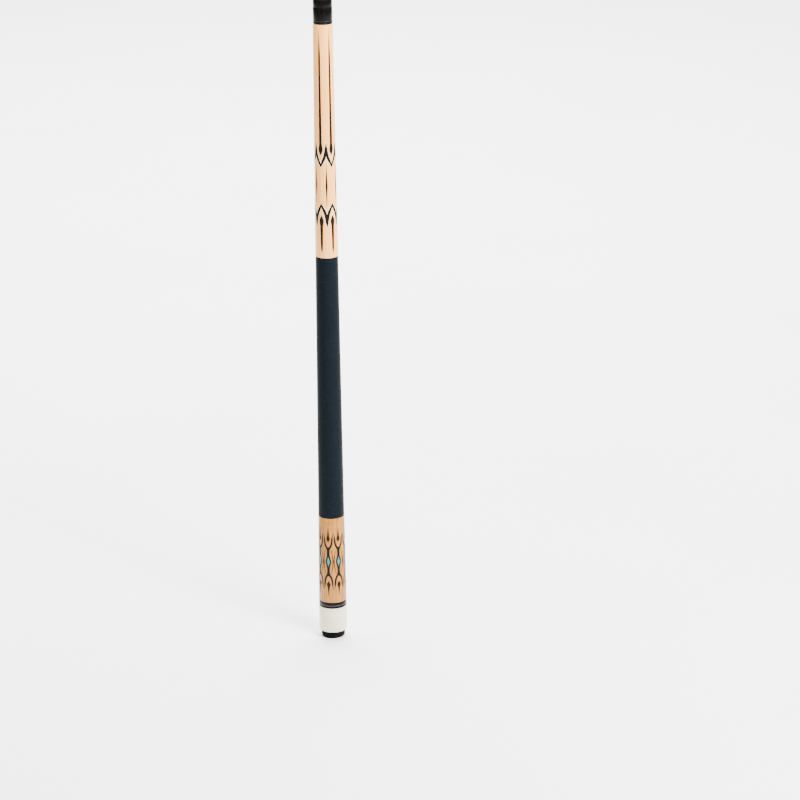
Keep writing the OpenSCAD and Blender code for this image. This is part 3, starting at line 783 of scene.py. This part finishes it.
CENTRE_R = 8 * MM  # the flat faces of a solid turned piece start from a disc of this radius
ARM_CHAMFER = 0.3 * MM
arm_low = wrap_top
arm_profile = [
    (CENTRE_R, arm_low), (surface_r(arm_low) - 0.1 * MM, arm_low),
    (surface_r(arm_low + ARM_CHAMFER), arm_low + ARM_CHAMFER),
    (surface_r(arm_top), arm_top), (CENTRE_R, arm_top)]
dress(turned("arm", arm_profile), arm_maple, "butt", "forearm")

ARM_TURN, ARM_POINTS = 5.5, 6
LEAF_Z, LEAF_W, LEAF_H, POINT_W = 34 * MM, 5 * MM, 12.5 * MM, 3.3 * MM
ZIGZAG_Z, ZIGZAG_H = 22.3 * MM, 24 * MM
DIAMOND_W = 2.4 * MM
FINE_STRIP, PROUD = 0.4 * MM, 0.014 * MM
ornament_mid = (high("forearm_diamonds") + low("forearm_diamonds")) / 2
arm_turns = [ARM_TURN + (i + 0.5) * 360 / ARM_POINTS for i in range(ARM_POINTS)]
gap_turns = [a + 180 / ARM_POINTS for a in arm_turns]
arm_room = surface_r(ornament_mid) * math.pi / ARM_POINTS
upper_tip = high("forearm_upper_points") - ornament_mid
lower_tip = ornament_mid - low("forearm_lower_points")


def point_outline(tip):
    """A leaf that draws in to a long needle."""
    leaf_top = LEAF_Z + LEAF_H
    leaf = smooth_line([
        (0.12 * MM, LEAF_Z), (LEAF_W * 0.36, LEAF_Z + LEAF_H * 0.27), (LEAF_W / 2, LEAF_Z + LEAF_H * 0.53),
        (LEAF_W * 0.42, LEAF_Z + LEAF_H * 0.76), (POINT_W / 2, leaf_top)], 4)
    waist = (POINT_W * 0.35, tip - 0.22 * (tip - LEAF_Z - LEAF_H))
    return both_sides([(0, LEAF_Z - 0.25 * MM)] + leaf + [waist, (0, tip)])


def in_band(parts):
    """A curve given as shares of the room to the next gap and of the zigzag's height."""
    return smooth_line([(x * arm_room, ZIGZAG_Z + z * ZIGZAG_H) for x, z in parts], 3)


def arm_inlay(name, outline, node, look, turns=arm_turns, proud=PROUD, flips=(False,)):
    dress(inlaid(name, outline, ornament_mid, turns, proud, FINE_STRIP, flips), look, "butt", node)


arm_inlay("upper_points", point_outline(upper_tip), "forearm_upper_points", black_wood)
arm_inlay("lower_points", point_outline(lower_tip), "forearm_lower_points", black_wood,
          flips=(True,))

upper_edge = in_band([
    (0, 0.10), (0.16, 0.23), (0.376, 0.365), (0.517, 0.49), (0.62, 0.61), (0.696, 0.73), (0.771, 0.85),
    (1.0, 1.107)])
lower_edge = in_band([
    (1.0, 0.45), (0.897, 0.345), (0.727, 0.245), (0.511, 0.145), (0.248, 0.02), (0, -0.097)])
arm_inlay("zigzag_lines", both_sides(upper_edge + lower_edge), "forearm_zigzags", black_wood,
          flips=(False, True))

upper_lining = in_band([
    (0, 0.215), (0.094, 0.27), (0.254, 0.37), (0.395, 0.49), (0.517, 0.61), (0.62, 0.73), (0.714, 0.85),
    (0.93, 1.12), (1.0, 1.135)])
lower_lining = in_band([
    (1.0, 0.335), (0.953, 0.275), (0.84, 0.205), (0.643, 0.115), (0.286, 0.005), (0, -0.113)])
lining = both_sides(without_repeats(upper_lining + lower_lining))
arm_inlay("pale_linings", lining, "forearm_veneers", veneer,
          proud=PROUD / 2, flips=(False, True))

diamond_h = high("forearm_diamonds") - low("forearm_diamonds")
diamond = both_sides([
    (0, -diamond_h / 2), (DIAMOND_W * 0.33, -diamond_h * 0.17), (DIAMOND_W / 2, 0),
    (DIAMOND_W * 0.33, diamond_h * 0.17), (0, diamond_h / 2)])
arm_inlay("diamond_inlays", diamond, "forearm_diamonds", black_wood, turns=gap_turns)

# ---- Joint -------------------------------------------------------------------------------------

RING_BORE = 8.1 * MM
MEETING_GAP = 0.02 * MM  # each collar's step back from the face where they meet


def joint_rings(name, node, look, body, heights):
    """Thin rings of one node, one above the other."""
    rings = []
    for z0, z1 in heights:
        profile = [(RING_BORE, z0), (surface_r(z0), z0), (surface_r(z1), z1), (RING_BORE, z1)]
        rings.append(turned(name, profile, hollow=True))
    dress(join(rings, name), look, body, node)


def outer_heights(silver, black):
    """The heights of the two metal rings on either side of a black one."""
    return [(low(silver), low(black)), (high(black), high(silver))]


joint_rings("arm_metal_rings", "butt_joint_rings_silver", nickel, "butt",
            outer_heights("butt_joint_rings_silver", "butt_joint_ring_black"))
joint_rings("arm_black_ring", "butt_joint_ring_black", phenolic, "butt",
            [(low("butt_joint_ring_black"), high("butt_joint_ring_black"))])
joint_rings("arm_collar", "butt_joint_collar", phenolic, "butt",
            [(low("butt_joint_collar"), joint_z - MEETING_GAP)])
joint_rings("shaft_metal_rings", "shaft_joint_rings_silver", nickel, "shaft",
            outer_heights("shaft_joint_rings_silver", "shaft_joint_ring_black"))
joint_rings("shaft_black_ring", "shaft_joint_ring_black", phenolic, "shaft",
            [(low("shaft_joint_ring_black"), high("shaft_joint_ring_black"))])
joint_rings("shaft_end_collar", "shaft_collar", phenolic, "shaft",
            [(joint_z + MEETING_GAP, high("shaft_collar"))])

PIN_PITCH, THREAD_DEPTH = 1.4111 * MM, 0.8 * MM
PIN_CHAMFER, NOSE_CHAMFER, NOSE_H = 0.3 * MM, 0.8 * MM, 4 * MM


def threaded_pin():
    """The shank, a right-handed thread cut up the pin, and a plain nose."""
    crest, foot, top = radius("joint_pin"), low("joint_pin"), high("joint_pin")
    root = crest - THREAD_DEPTH
    z0, z1 = joint_z + 1 * MM, top - NOSE_H
    flank, flat = 0.4 * PIN_PITCH, 0.1 * PIN_PITCH
    thread_line = [(-THREAD_DEPTH, flank), (0, flat), (THREAD_DEPTH, flank), (0, flat)]
    turns = int((z1 - z0) / PIN_PITCH) + 4
    thread = wind("pin", (crest, z0 - 2 * PIN_PITCH), thread_line, PIN_PITCH, turns, 64)
    cut_level(thread, z0, z1)
    close_ends(thread, (z0, z1), (0.6, 0.6))
    finish_piece(thread)
    shank = turned("pin_shank", [(crest - PIN_CHAMFER, foot), (crest, foot + PIN_CHAMFER), (crest, z0)])
    nose = turned("pin_nose", [
        (root, z1 - 0.3 * MM), (root, top - NOSE_CHAMFER), (root - NOSE_CHAMFER, top)])
    return join([thread, shank, nose], "pin")


dress(threaded_pin(), steel, "butt", "joint_pin")

# ---- Shaft, ferrule and tip --------------------------------------------------------------------

TENON_R, FERRULE_BORE, PAD_CENTRE_R = 5 * MM, 4.1 * MM, 4 * MM
CROWN_R = 10.6 * MM

taper_heights = [between(i, 0, 8, shaft_low, slim_z) for i in range(9)]
shaft_profile = (
    [(CENTRE_R, shaft_low)] + [(surface_r(z), z) for z in taper_heights]
    + [(tip_r, ferrule_low), (TENON_R, ferrule_low)]
)
dress(turned("shaft_wood", shaft_profile), shaft_maple, "shaft", "shaft")


def plug(name, node, centre, look):
    """A straight-sided piece of the tip's width."""
    z0, z1 = low(node), high(node)
    profile = [(centre, z0), (tip_r, z0), (tip_r, z1), (centre, z1)]
    dress(turned(name, profile), look, "shaft", node)


plug("ferrule_sleeve", "ferrule", FERRULE_BORE, ferrule_white)
plug("fibre_pad", "tip_pad", PAD_CENTRE_R, fibre)

tip_low, tip_top = low("tip"), high("tip")
crown_mid = tip_top - CROWN_R
tip_side = crown_mid + math.sqrt(CROWN_R ** 2 - tip_r ** 2)
crown_start = math.degrees(math.acos(tip_r / CROWN_R))
crown = quarter(0, crown_mid, CROWN_R, crown_start, 90, 12)[1:-1]
tip_profile = (
    [(PAD_CENTRE_R, tip_low), (tip_r, tip_low), (tip_r + 0.03 * MM, (tip_low + tip_side) / 2)]
    + [(tip_r, tip_side)] + crown + [(0, tip_top)]
)
dress(turned("leather_tip", tip_profile, edge=0.08 * MM), leather, "shaft", "tip")

# ---- CAD pieces that show as they are ----------------------------------------------------------

for node, look in (
    ("bumper_screw", zinc), ("bumper_washer", zinc), ("weight_bolt", zinc),
    ("handle_core", core_maple), ("handle_stud", steel), ("shaft_insert", brass),
):
    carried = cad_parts[node]
    carried.data.materials.clear()
    carried.data.materials.append(look)

# ---- Floor, light and camera -------------------------------------------------------------------

floor_look = Look("studio floor", Specular_IOR_Level=0.2)
floor_tone = floor_look.noise(floor_look.stretched(floor_look.place(), 3, 3, 3), detail=2.0)
floor_share = floor_look.limits(floor_tone, 0.3, 0.7)
floor_look.set("Base Color", floor_look.mix(floor_share, (0.83, 0.83, 0.83), (0.86, 0.86, 0.86)))
floor_look.shader.inputs["Roughness"].default_value = 0.7
bpy.ops.object.select_all(action="DESELECT")
bpy.ops.mesh.primitive_plane_add(size=30, location=(0, 0, 0))
floor = bpy.context.object
floor.name = "studio_floor"
floor.data.materials.append(floor_look.material)

world = bpy.data.worlds.new("studio")
bpy.context.scene.world = world
world.use_nodes = True
sky = world.node_tree.nodes["Background"]
sky.inputs["Color"].default_value = (1.0, 1.0, 1.0, 1.0)
sky.inputs["Strength"].default_value = 0.6


def soft_box(name, place, aim, width, height, power):
    light = bpy.data.lights.new(name, "AREA")
    light.shape, light.size, light.size_y, light.energy = "RECTANGLE", width, height, power
    lamp = bpy.data.objects.new(name, light)
    bpy.context.collection.objects.link(lamp)
    lamp.location = place
    lamp.rotation_euler = (Vector(aim) - Vector(place)).to_track_quat("-Z", "Y").to_euler()


soft_box("overhead", (0, 2.3, 3.2), (0, 2.3, 0), 3.4, 3.4, 900)
soft_box("key", (1.9, -1.7, 1.9), (0, 0, 0.6), 0.8, 1.2, 185)
soft_box("front_top", (0.8, -1.1, 1.75), (0, 0, 0.65), 0.5, 0.5, 78)
soft_box("left_edge", (-1.9, 0.6, 1.9), (0, 0, 0.5), 0.5, 1.2, 22)

CAMERA_DISTANCE, CAMERA_RISE = 3.702, math.radians(23.24)
CAMERA_TURN, CAMERA_TILT, CAMERA_ROLL = math.radians(1.342), math.radians(-19.062), math.radians(-0.571)
lens = bpy.data.cameras.new("camera")
lens.lens, lens.sensor_width = 143.6, 36.0
lens.clip_start, lens.clip_end = 0.05, 60.0
camera = bpy.data.objects.new("camera", lens)
bpy.context.collection.objects.link(camera)
camera.location = (0, -CAMERA_DISTANCE * math.cos(CAMERA_RISE), CAMERA_DISTANCE * math.sin(CAMERA_RISE))
ahead = math.cos(CAMERA_TILT)
forward = Vector((math.sin(CAMERA_TURN) * ahead, math.cos(CAMERA_TURN) * ahead, math.sin(CAMERA_TILT)))
camera.rotation_mode = "QUATERNION"
camera.rotation_quaternion = Quaternion(forward, -CAMERA_ROLL) @ forward.to_track_quat("-Z", "Y")
bpy.context.scene.camera = camera
